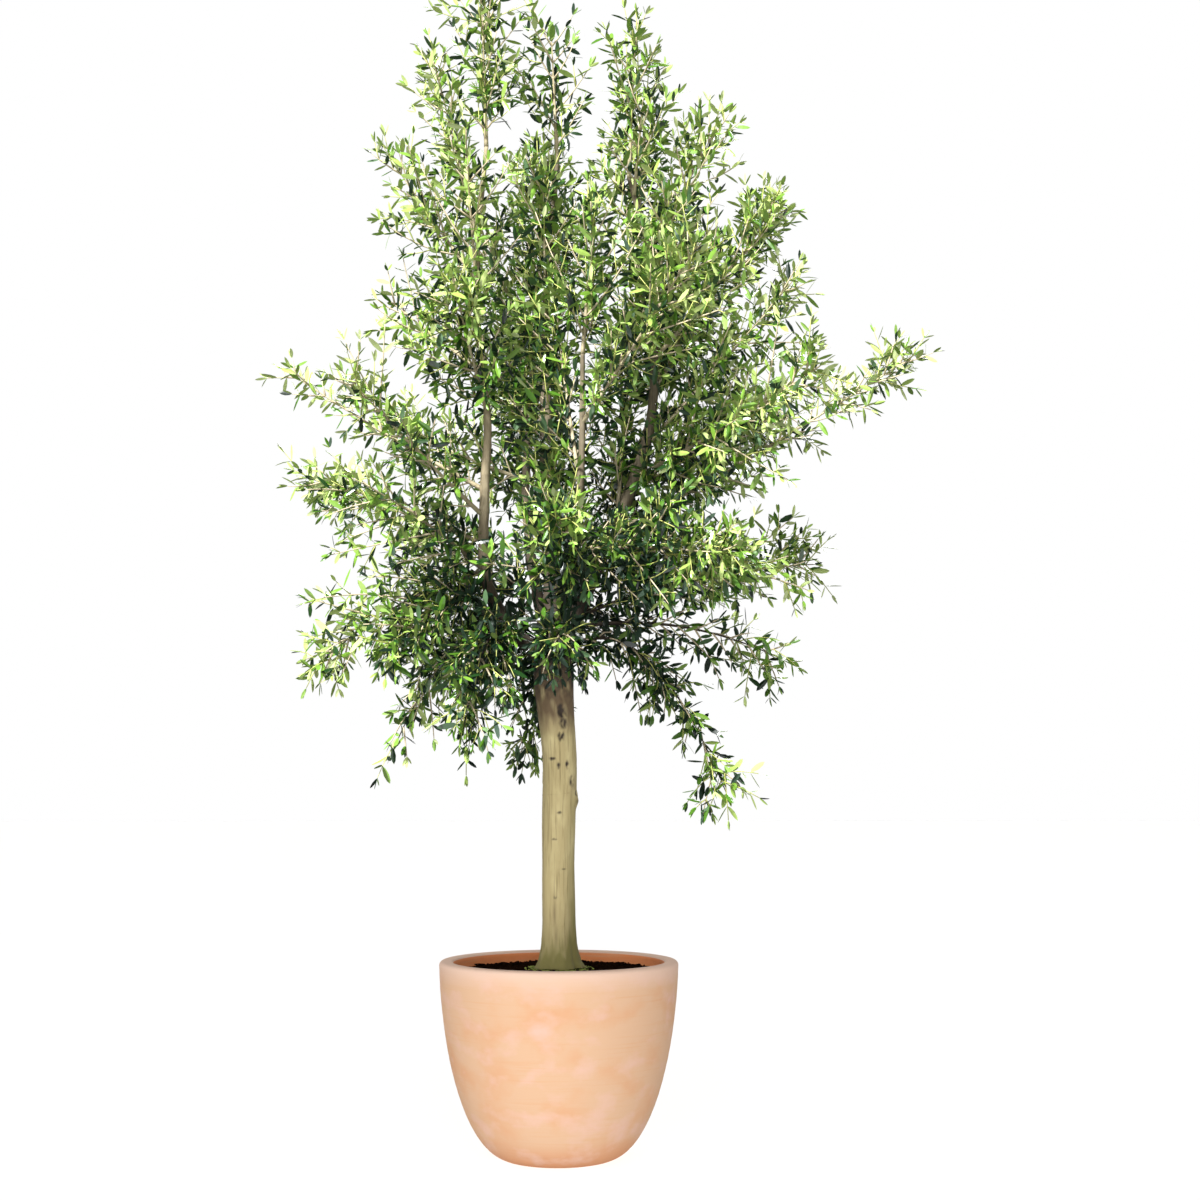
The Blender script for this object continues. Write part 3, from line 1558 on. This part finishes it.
    def spur_shoots(self, mass: Mass, number: int, node: int, nodes: int) -> list[Shoot]:
        """The short shoots that stand on a stem between two of its nodes, closer together near the fork.

        Args:
            mass: The mass.
            number: Its place among all masses.
            node: The lower of the two nodes.
            nodes: How many nodes the stem has.

        Returns:
            The shoots.
        """
        shoots = []
        close = node / nodes < self.inner and mass.at(node / nodes)[2] < self.close_below
        for place, step in enumerate(self.close_spurs if close else self.spurs):
            share = (node + step) / nodes
            for twin in (0, 1):
                keys = (number, Kind.SPUR, place, node + place, twin)
                start, tangent = mass.at(share), mass.tangent(share)
                shoots.append(self.fine_shoot(mass, share, start, tangent, self.fine_length, keys))
        return [shoot for shoot in shoots if shoot]

    def fine_shoot(
        self, mass: Mass, share: float, start: np.ndarray, tangent: np.ndarray, length: float,
        keys: tuple[int, ...],
    ) -> Shoot | None:
        """One fine shoot.

        Args:
            mass: The mass.
            share: Where along the mass's stem it is.
            start: Where the shoot leaves its twig or stem.
            tangent: The direction of that twig or stem.
            length: How long shoots grow there.
            keys: What names the shoot. The last two are its place along the twig and its twin's number.

        Returns:
            The shoot, or None where none grows.
        """
        fill = FILL.get(mass.name, FILL[mass.group])
        if share < self.inner:
            fill *= BARE_INSIDE.get(mass.name, self.inner_fill)
        if draw(*keys, Use.FILL) > fill:
            return None
        turn = math.pi / 2 * keys[-2] + math.pi * keys[-1] + stray(self.fine_turn, *keys, Use.TURN)
        spread, wander = self.fine_spread
        way = side_direction(tangent, turn, math.radians(spread + stray(wander, *keys, Use.SPREAD)))
        lift = mass.lift + stray(self.lift_stray, *keys, Use.LIFT)
        path = self.grown(start, way, length * (1 + stray(self.fine_stray, *keys, Use.LENGTH)), lift, keys[0])
        if len(path) <= self.shortest:
            return None
        return Shoot(path, self.fine_radii, mass, share, keys)

    def grow(self) -> list[Shoot]:
        """Grows every mass.

        Returns:
            All twigs and shoots, with each stem's own leafy end among them.
        """
        shoots = []
        for number, mass in enumerate(self.masses):
            nodes = max(self.least_nodes, round(mass.length / self.node))
            for node in range(nodes):
                # The first node sits in the leader's bark, so it bears no pair of twigs.
                for twin in (0, 1) if node else ():
                    twig = self.side_twig(mass, number, node, nodes, twin)
                    if twig:
                        shoots.append(twig)
                        shoots += self.fine_shoots(twig, number)
                shoots += self.spur_shoots(mass, number, node, nodes)
            leaves = max(self.least_nodes, int(mass.length * (1 - self.leafy_from) / self.leaf_step))
            end = mass.at(np.linspace(self.leafy_from, 1, leaves))
            shoots.append(Shoot(end, self.end_radii, mass, 1.0, (number, Kind.STEM_END)))
        return shoots

    def build_stems(self, finish: bpy.types.Material) -> bpy.types.Object:
        """Makes the stems that carry the masses.

        Args:
            finish: Their bark.

        Returns:
            The piece.
        """
        share = np.linspace(0, 1, self.stem_steps + 1)
        foot, end = self.stem_radii
        taper = end + (foot - end) * (1 - share) ** self.stem_taper
        stems = MeshParts()
        for mass in self.masses:
            girth = self.short_stem + (1 - self.short_stem) * min(1, mass.length / self.full_stem)
            stems.add(*tube(mass.at(share), taper * girth, self.stem_sides))
        piece = stems.build("stems", [finish])
        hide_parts(*(mass.name for mass in self.masses))
        return piece


# ---------------------------------------------------------------- leaves and twigs
@dataclass(frozen=True)
class Shade:
    """How light a spray's leaves are, from 0 in the crown's shade to 1 at its young outside.

    They are lighter higher up, further out and nearer to their stem's end, and darker in the shade round the
    fork, which thins out again towards the hanging skirt.
    """

    # The lightness at the foot of the shade, and what each of these adds or takes away.
    base: float = 0.28
    by_height: float = 0.2
    by_outside: float = 0.3
    by_stem: float = 0.2
    by_fork: float = 0.2
    stray: float = 0.22
    # From where on and over what distance height counts, and distance from the crown's axis, which counts
    # less to the front and back.
    height_from: float = 1150.0
    height_over: float = 1500.0
    axis: float = 20.0
    depth_share: float = 0.7
    outside_over: float = 560.0
    most_outside: float = 1.2
    # Below what height and over what distance the fork's shade grows, how it ends outwards, and from where up
    # to where it grows over the skirt, from its least there.
    fork_below: float = 1750.0
    fork_over: float = 400.0
    fork_reach: tuple[float, float] = (1.9, 2.0)
    skirt_from: float = 900.0
    skirt_over: float = 300.0
    skirt_least: float = 0.2

    def lightness(self, shoot: Shoot) -> float:
        """The lightness of one shoot's leaves.

        Args:
            shoot: The shoot.

        Returns:
            The lightness, which its stray can take past 0 and 1.
        """
        x, y, z = shoot.path[-1]
        height = np.clip((z - self.height_from) / self.height_over, 0, 1)
        outside = math.hypot(x - self.axis, self.depth_share * y) / self.outside_over
        outside = np.clip(outside, 0, self.most_outside)
        fork = np.clip((self.fork_below - z) / self.fork_over, 0, 1)
        fork *= np.clip(self.fork_reach[0] - self.fork_reach[1] * outside, 0, 1)
        fork *= np.clip((z - self.skirt_from) / self.skirt_over, self.skirt_least, 1)
        lighter = self.by_height * height + self.by_outside * outside + self.by_stem * shoot.stem_share
        return float(self.base + lighter - self.by_fork * fork + stray(self.stray, *shoot.keys, Use.TINT))


@dataclass
class Leaf:
    """The olive leaf: a narrow pointed blade, arched along its midrib, as a closed body of 24 faces.

    slimness is its width as a share of its length, and each station a share of its length and of its width.
    """

    length: float = 42.5
    slimness: float = 0.285
    thickness: float = 0.8
    stations: tuple[tuple[float, float], ...] = ((0.2, 0.7), (0.52, 1.0), (0.83, 0.68))

    def blade(self) -> tuple[np.ndarray, np.ndarray]:
        """The blade of length 1 and half-width 1.

        Returns:
            Points as (along, across, rib side), and triangles, those of the top before the underside's.
        """
        along, width = np.array(self.stations).T
        zero = np.zeros(3)
        points = np.concatenate([
            [(0, 0, 0), (1, 0, 0)],
            np.stack([along, width, zero], axis=-1),
            np.stack([along, -width, zero], axis=-1),
            np.stack([along, zero, zero + 1], axis=-1),
            np.stack([along, zero, zero - 1], axis=-1),
        ])
        root, tip, left, right, rib = 0, 1, 2, 5, 8
        top = [(root, right, rib), (root, rib, left), (right + 2, tip, rib + 2), (rib + 2, tip, left + 2)]
        for at in (0, 1):
            top += [(right + at, right + at + 1, rib + at + 1), (right + at, rib + at + 1, rib + at),
                    (rib + at, rib + at + 1, left + at + 1), (rib + at, left + at + 1, left + at)]
        top = np.array(top)
        under = np.where(top >= rib, top + 3, top)[:, ::-1]
        return points, np.concatenate([top, under])


@dataclass
class Foliage:
    """Twigs and leaves, made from the crown's shoots, a piece of each kind for each storey."""

    shoots: list[Shoot]
    leaf: Leaf = field(default_factory=Leaf)
    shade: Shade = field(default_factory=Shade)
    # How leaves stand: their turn's stray in radians, and in degrees their angle off the shoot at its foot,
    # how much less it is towards its end, and its stray, then that of the last pair and of the end leaf.
    wander: float = 0.4
    spread: tuple[float, float, float] = (66, 20, 14)
    end_spread: tuple[float, float] = (32, 12)
    end_leaf: float = 3.0
    forward: float = 0.4
    tumble: float = 0.65
    # Their size, smaller where young, and their form.
    young_from: float = 0.75
    young_size: float = 0.66
    size_stray: float = 0.22
    width: tuple[float, float] = (0.85, 1.15)
    fold: tuple[float, float] = (-0.1, 0.35)
    curl: tuple[float, float] = (-0.02, 0.26)
    # Their tint beside the spray's: lighter towards the shoot's end, with stray, shade and a few dark ones.
    end_tint: float = 0.16
    plain_at: float = 0.4
    tint_stray: float = 0.1
    darker: float = 0.17
    dark_share: float = 0.14
    dark_by: float = 0.4
    twig_sides: int = 5
    fine_sides: int = 4

    def leaves_of(self, shoot: Shoot) -> tuple[np.ndarray, ...]:
        """The leaves of one shoot: opposite pairs, each a quarter turn on, and one at the end.

        Args:
            shoot: The shoot.

        Returns:
            For all its leaves: roots, directions, tops' normals, lengths and tints.
        """
        chance = np.random.default_rng(shoot.keys)
        path, last = shoot.path, len(shoot.path) - 1
        places = np.append(np.repeat(np.arange(1, last + 1), 2), last)
        count = len(places)
        tangents = unit(path[np.minimum(places + 1, last)] - path[places - 1])
        share = places / last
        twins = np.arange(count) % 2
        turns = math.pi / 2 * places + math.pi * twins + chance.uniform(-self.wander, self.wander, count)
        foot, less, wander = self.spread
        spreads = foot - less * share + chance.uniform(-wander, wander, count)
        end, end_wander = self.end_spread
        spreads = np.where(places == last, end + end_wander * chance.uniform(-1, 1, count), spreads)
        spreads[-1] = self.end_leaf
        ways = side_directions(tangents, turns, np.radians(spreads))
        young = np.clip((share - self.young_from) / (1 - self.young_from), 0, 1)
        lengths = self.leaf.length * (1 - (1 - self.young_size) * young)
        lengths = lengths * (1 + chance.uniform(-self.size_stray, self.size_stray, count))
        wanted = UP + self.forward * tangents + chance.normal(0, self.tumble, (count, 3))
        normals = unit(wanted - (wanted * ways).sum(axis=1, keepdims=True) * ways)
        tints = self.shade.lightness(shoot) + self.end_tint * (share - self.plain_at)
        tints += chance.normal(0, self.tint_stray, count) - chance.exponential(self.darker, count)
        tints -= self.dark_by * (chance.random(count) < self.dark_share)
        return path[places], ways, normals, lengths, tints

    def add_leaves(self, parts: MeshParts, leaves: tuple[np.ndarray, ...], seed: int) -> None:
        """Makes the leaves of a storey.

        Args:
            parts: What they are added to.
            leaves: Roots, directions, tops' normals, lengths and tints.
            seed: The seed of their folds and curls.
        """
        roots, ways, normals, lengths, tints = leaves
        blade, triangles = self.leaf.blade()
        count = len(roots)
        chance = np.random.default_rng(seed)
        across = np.cross(normals, ways)
        widths = 0.5 * self.leaf.slimness * lengths * chance.uniform(*self.width, count)
        folds, curls = chance.uniform(*self.fold, count), chance.uniform(*self.curl, count)
        u, v, rib = (blade[None, :, axis] for axis in range(3))
        rise = (
            0.5 * self.leaf.thickness * rib
            - (folds * widths)[:, None] * np.abs(v)
            - (curls * lengths)[:, None] * u**2
        )
        points = (
            roots[:, None]
            + (u * lengths[:, None])[..., None] * ways[:, None]
            + (v * widths[:, None])[..., None] * across[:, None]
            + rise[..., None] * normals[:, None]
        )
        starts = (np.arange(count) * len(blade))[:, None, None]
        step = np.clip((tints * len(Tint)).astype(int), 0, len(Tint) - 1)
        side = np.repeat([0, 1], len(triangles) // 2)
        slots = (2 * step[:, None] + side).ravel()
        parts.add(points.reshape(-1, 3), (triangles + starts).reshape(-1, 3), slots)

    def build(self) -> list[bpy.types.Object]:
        """Makes each storey's leaves and twigs, and the stems that carry them.

        Returns:
            The pieces.
        """
        leaf_finishes = [finish.material() for tint in Tint for finish in tint.finishes()]
        twig_finishes = [
            TwigFinish("olive_twig_bark_grey_tan", "c2b395", 0.8).material(),
            TwigFinish("olive_shoot_bark_green", "b3b765", 0.6).material(),
        ]
        pieces = []
        groups = list(dict.fromkeys(shoot.mass.group for shoot in self.shoots))
        for number, group in enumerate(groups):
            shoots = [shoot for shoot in self.shoots if shoot.mass.group == group]
            nodes = sorted({shoot.mass.name for shoot in shoots})
            leaves, twigs = MeshParts(), MeshParts()
            gathered = [self.leaves_of(shoot) for shoot in shoots]
            self.add_leaves(leaves, tuple(np.concatenate(kind) for kind in zip(*gathered)), number)
            for shoot in shoots:
                radii = np.linspace(*shoot.radii, len(shoot.path))
                sides = self.fine_sides if shoot.fine else self.twig_sides
                twigs.add(*tube(shoot.path, radii, sides), int(shoot.fine))
            for parts, kind, finishes, slot in (
                (leaves, "leaves", leaf_finishes, "foliage"), (twigs, "twigs", twig_finishes, "bark"),
            ):
                piece = parts.build(f"{kind}_{group}", finishes, smooth=kind == "twigs")
                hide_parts(*nodes)
                pieces.append(piece)
        LOG.info("%d shoots", len(self.shoots))
        return pieces


# ---------------------------------------------------------------- studio
@dataclass(frozen=True)
class Lamp:
    """A distant lamp: where its light comes from, its strength and how wide it looks, in degrees."""

    name: str
    source: tuple[float, float, float]
    strength: float
    width: float

    def build(self) -> bpy.types.Object:
        """Makes the lamp.

        Returns:
            Its object.
        """
        light = bpy.data.lights.new(self.name, "SUN")
        light.energy, light.angle = self.strength, math.radians(self.width)
        lamp = bpy.data.objects.new(self.name, light)
        lamp.rotation_euler = Vector(self.source).to_track_quat("Z", "Y").to_euler()
        bpy.context.scene.collection.objects.link(lamp)
        return lamp


@dataclass
class Studio:
    """A pale floor, a key light from the upper left with soft lights round it, a white sky and the camera."""

    camera_place: tuple[float, float, float] = (0.0, -5000.0, 960.0)
    camera_aim: tuple[float, float, float] = (101.5, 0.0, 1374.0)
    lens: float = 60.0
    sensor: float = 36.0
    lamps: tuple[Lamp, ...] = (
        Lamp("key", (-0.5, -0.7, 0.85), 11.3, 8),
        Lamp("soft_key", (-0.6, -0.76, 0.3), 2.2, 110),
        Lamp("side_light", (0.8, -0.6, -0.1), 0.75, 90),
        Lamp("bounce", (0.1, -0.5, -0.85), 0.75, 90),
        Lamp("pot_back_light", (0.2, 1.0, 0.3), 1.8, 110),
        Lamp("back_light", (0.3, 1.0, 0.6), 2.0, 30),
        Lamp("fill", (-0.05, -1.0, -0.12), 1.6, 60),
        Lamp("floor_light", (0, 0, 1), 3.0, 0),
    )
    sky_colour: str = "f7f9ff"
    sky_strength: float = 0.2
    floor_colour: str = "f4f3f1"
    floor_size: float = 60000.0
    farthest: float = 200000.0

    @staticmethod
    def link(lamp: bpy.types.Object, role: str, state: str, things: list[bpy.types.Object]) -> None:
        """Says which things a lamp lights, or which block its light.

        Args:
            lamp: The lamp.
            role: receiver for what is lit, blocker for what casts shadows.
            state: INCLUDE for those things alone, EXCLUDE for all but those.
            things: The objects that are named.
        """
        chosen = bpy.data.collections.new(f"{lamp.name}_{role}")
        for thing in things:
            chosen.objects.link(thing)
        setattr(lamp.light_linking, f"{role}_collection", chosen)
        for place in chosen.collection_objects:
            place.light_linking.link_state = state

    def light(self, floor: bpy.types.Object, potted: list[bpy.types.Object]) -> None:
        """Lights the tree with a hard key, the pot and trunk with a soft one, and the floor evenly.

        Args:
            floor: The floor.
            potted: The pot, the soil and the trunk.
        """
        key, *potted_lights, back_light, _, floor_light = (lamp.build() for lamp in self.lamps)
        for lamp in (key, back_light):
            self.link(lamp, "receiver", "EXCLUDE", [floor, *potted])
        for lamp in potted_lights:
            self.link(lamp, "receiver", "INCLUDE", potted)
        self.link(floor_light, "receiver", "INCLUDE", [floor])
        self.link(floor_light, "blocker", "INCLUDE", [floor])

    def build_floor(self) -> bpy.types.Object:
        """Makes the floor, which throws no light and no shadow on the tree.

        Returns:
            The floor.
        """
        half = self.floor_size / 2
        corners = np.array([(-half, -half, 0), (half, -half, 0), (half, half, 0), (-half, half, 0)])
        parts = MeshParts()
        parts.add(corners, np.array([(0, 1, 2), (0, 2, 3)]))
        paint, _ = principled("studio_floor_paint", Base_Color=linear(self.floor_colour), Roughness=0.9)
        floor = parts.build("floor", [paint])
        floor.visible_diffuse = floor.visible_glossy = floor.visible_shadow = False
        return floor

    def build_sky(self) -> None:
        """Makes the sky: a faint light from all sides, that looks white to the camera alone."""
        world = bpy.data.worlds.new("sky")
        bpy.context.scene.world = world
        world.use_nodes = True
        tree = world.node_tree
        sky = tree.nodes["Background"]
        sky.inputs["Color"].default_value = linear(self.sky_colour)
        sky.inputs["Strength"].default_value = self.sky_strength
        backdrop = add_node(tree, "ShaderNodeBackground", {"Color": (1, 1, 1, 1), "Strength": 1.0})
        seen = add_node(tree, "ShaderNodeLightPath", {}).outputs["Is Camera Ray"]
        mixed = add_node(tree, "ShaderNodeMixShader", {0: seen, 1: sky.outputs[0], 2: backdrop.outputs[0]})
        tree.links.new(mixed.outputs[0], tree.nodes["World Output"].inputs["Surface"])

    def build_camera(self) -> None:
        """Makes the camera and points it at the tree."""
        lens = bpy.data.cameras.new("camera")
        lens.lens, lens.sensor_width, lens.clip_end = self.lens, self.sensor, self.farthest * MM
        camera = bpy.data.objects.new("camera", lens)
        place, aim = Vector(self.camera_place) * MM, Vector(self.camera_aim) * MM
        camera.location = place
        camera.rotation_euler = (place - aim).to_track_quat("Z", "Y").to_euler()
        bpy.context.scene.collection.objects.link(camera)
        bpy.context.scene.camera = camera


def main() -> None:
    """Builds the tree around its frame, piece by piece, and the studio."""
    logging.basicConfig(level=logging.INFO, format="%(message)s")
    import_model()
    bpy.context.scene.view_settings.view_transform = "Standard"
    studio = Studio()
    floor = studio.build_floor()
    studio.build_sky()
    studio.build_camera()
    pot, trunk = Pot(), Trunk()
    bough_bark = BarkFinish("olive_bark_bough", skin="675d4a", pale="7c715a", streak="463e2d", marked=False)
    pale_bark = BarkFinish(
        "olive_bark_bough_pale", skin="9a8c70", pale="b0a284", streak="6c6048", marked=False
    )
    stem_bark = BarkFinish("olive_bark_stem", skin="afa282", pale="c4b999", streak="8a7d5c", marked=False)
    finish, pale_finish = bough_bark.material(), pale_bark.material()
    crown = Crown(trunk, LEADERS)
    pieces = [pot.build(), Soil(pot).build(), trunk.build()]
    studio.light(floor, list(pieces))
    pieces.append(crown.build_stems(stem_bark.material()))
    pieces += [leader.build(pale_finish if leader.sunlit else finish, number)
               for number, leader in enumerate(LEADERS)]
    pieces += Foliage(crown.grow()).build()
    for piece in pieces:
        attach(piece, "root")
        LOG.info("%s rides on root", piece.name)


if __name__ == "__main__":
    main()
